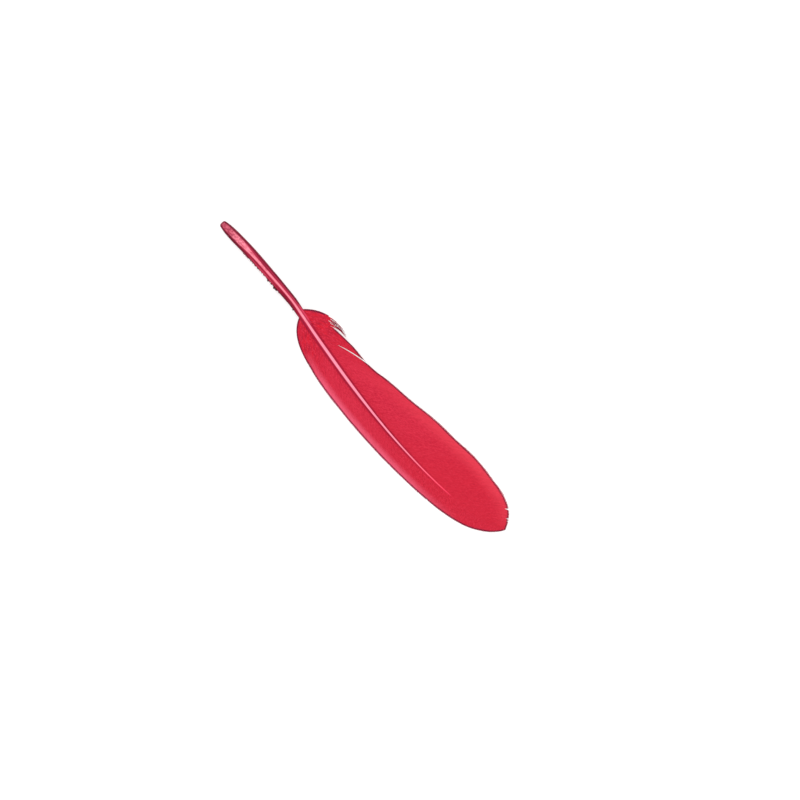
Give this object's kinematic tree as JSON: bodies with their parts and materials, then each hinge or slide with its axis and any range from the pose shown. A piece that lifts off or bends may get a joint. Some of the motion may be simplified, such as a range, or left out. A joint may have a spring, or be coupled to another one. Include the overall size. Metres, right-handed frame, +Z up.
{
  "type": "goose quill feather",
  "caption": "Dyed quill feather with a bare rounded quill, a tapering shaft, a wide and a narrow vane, lying on its underside.",
  "frame": {"origin": "centre of the bounding box in plan, on the surface that the feather lies on", "axes": "+X from the quill end to the tip, +Y towards the wide vane, +Z up, away from the surface, on the side that shows the shaft's ridge"},
  "size_m": [0.1528, 0.0251, 0.0051],
  "materials": {
    "feather": "satin"
  },
  "bodies": {
    "root": {"feather": "feather"}
  },
  "joints": []
}
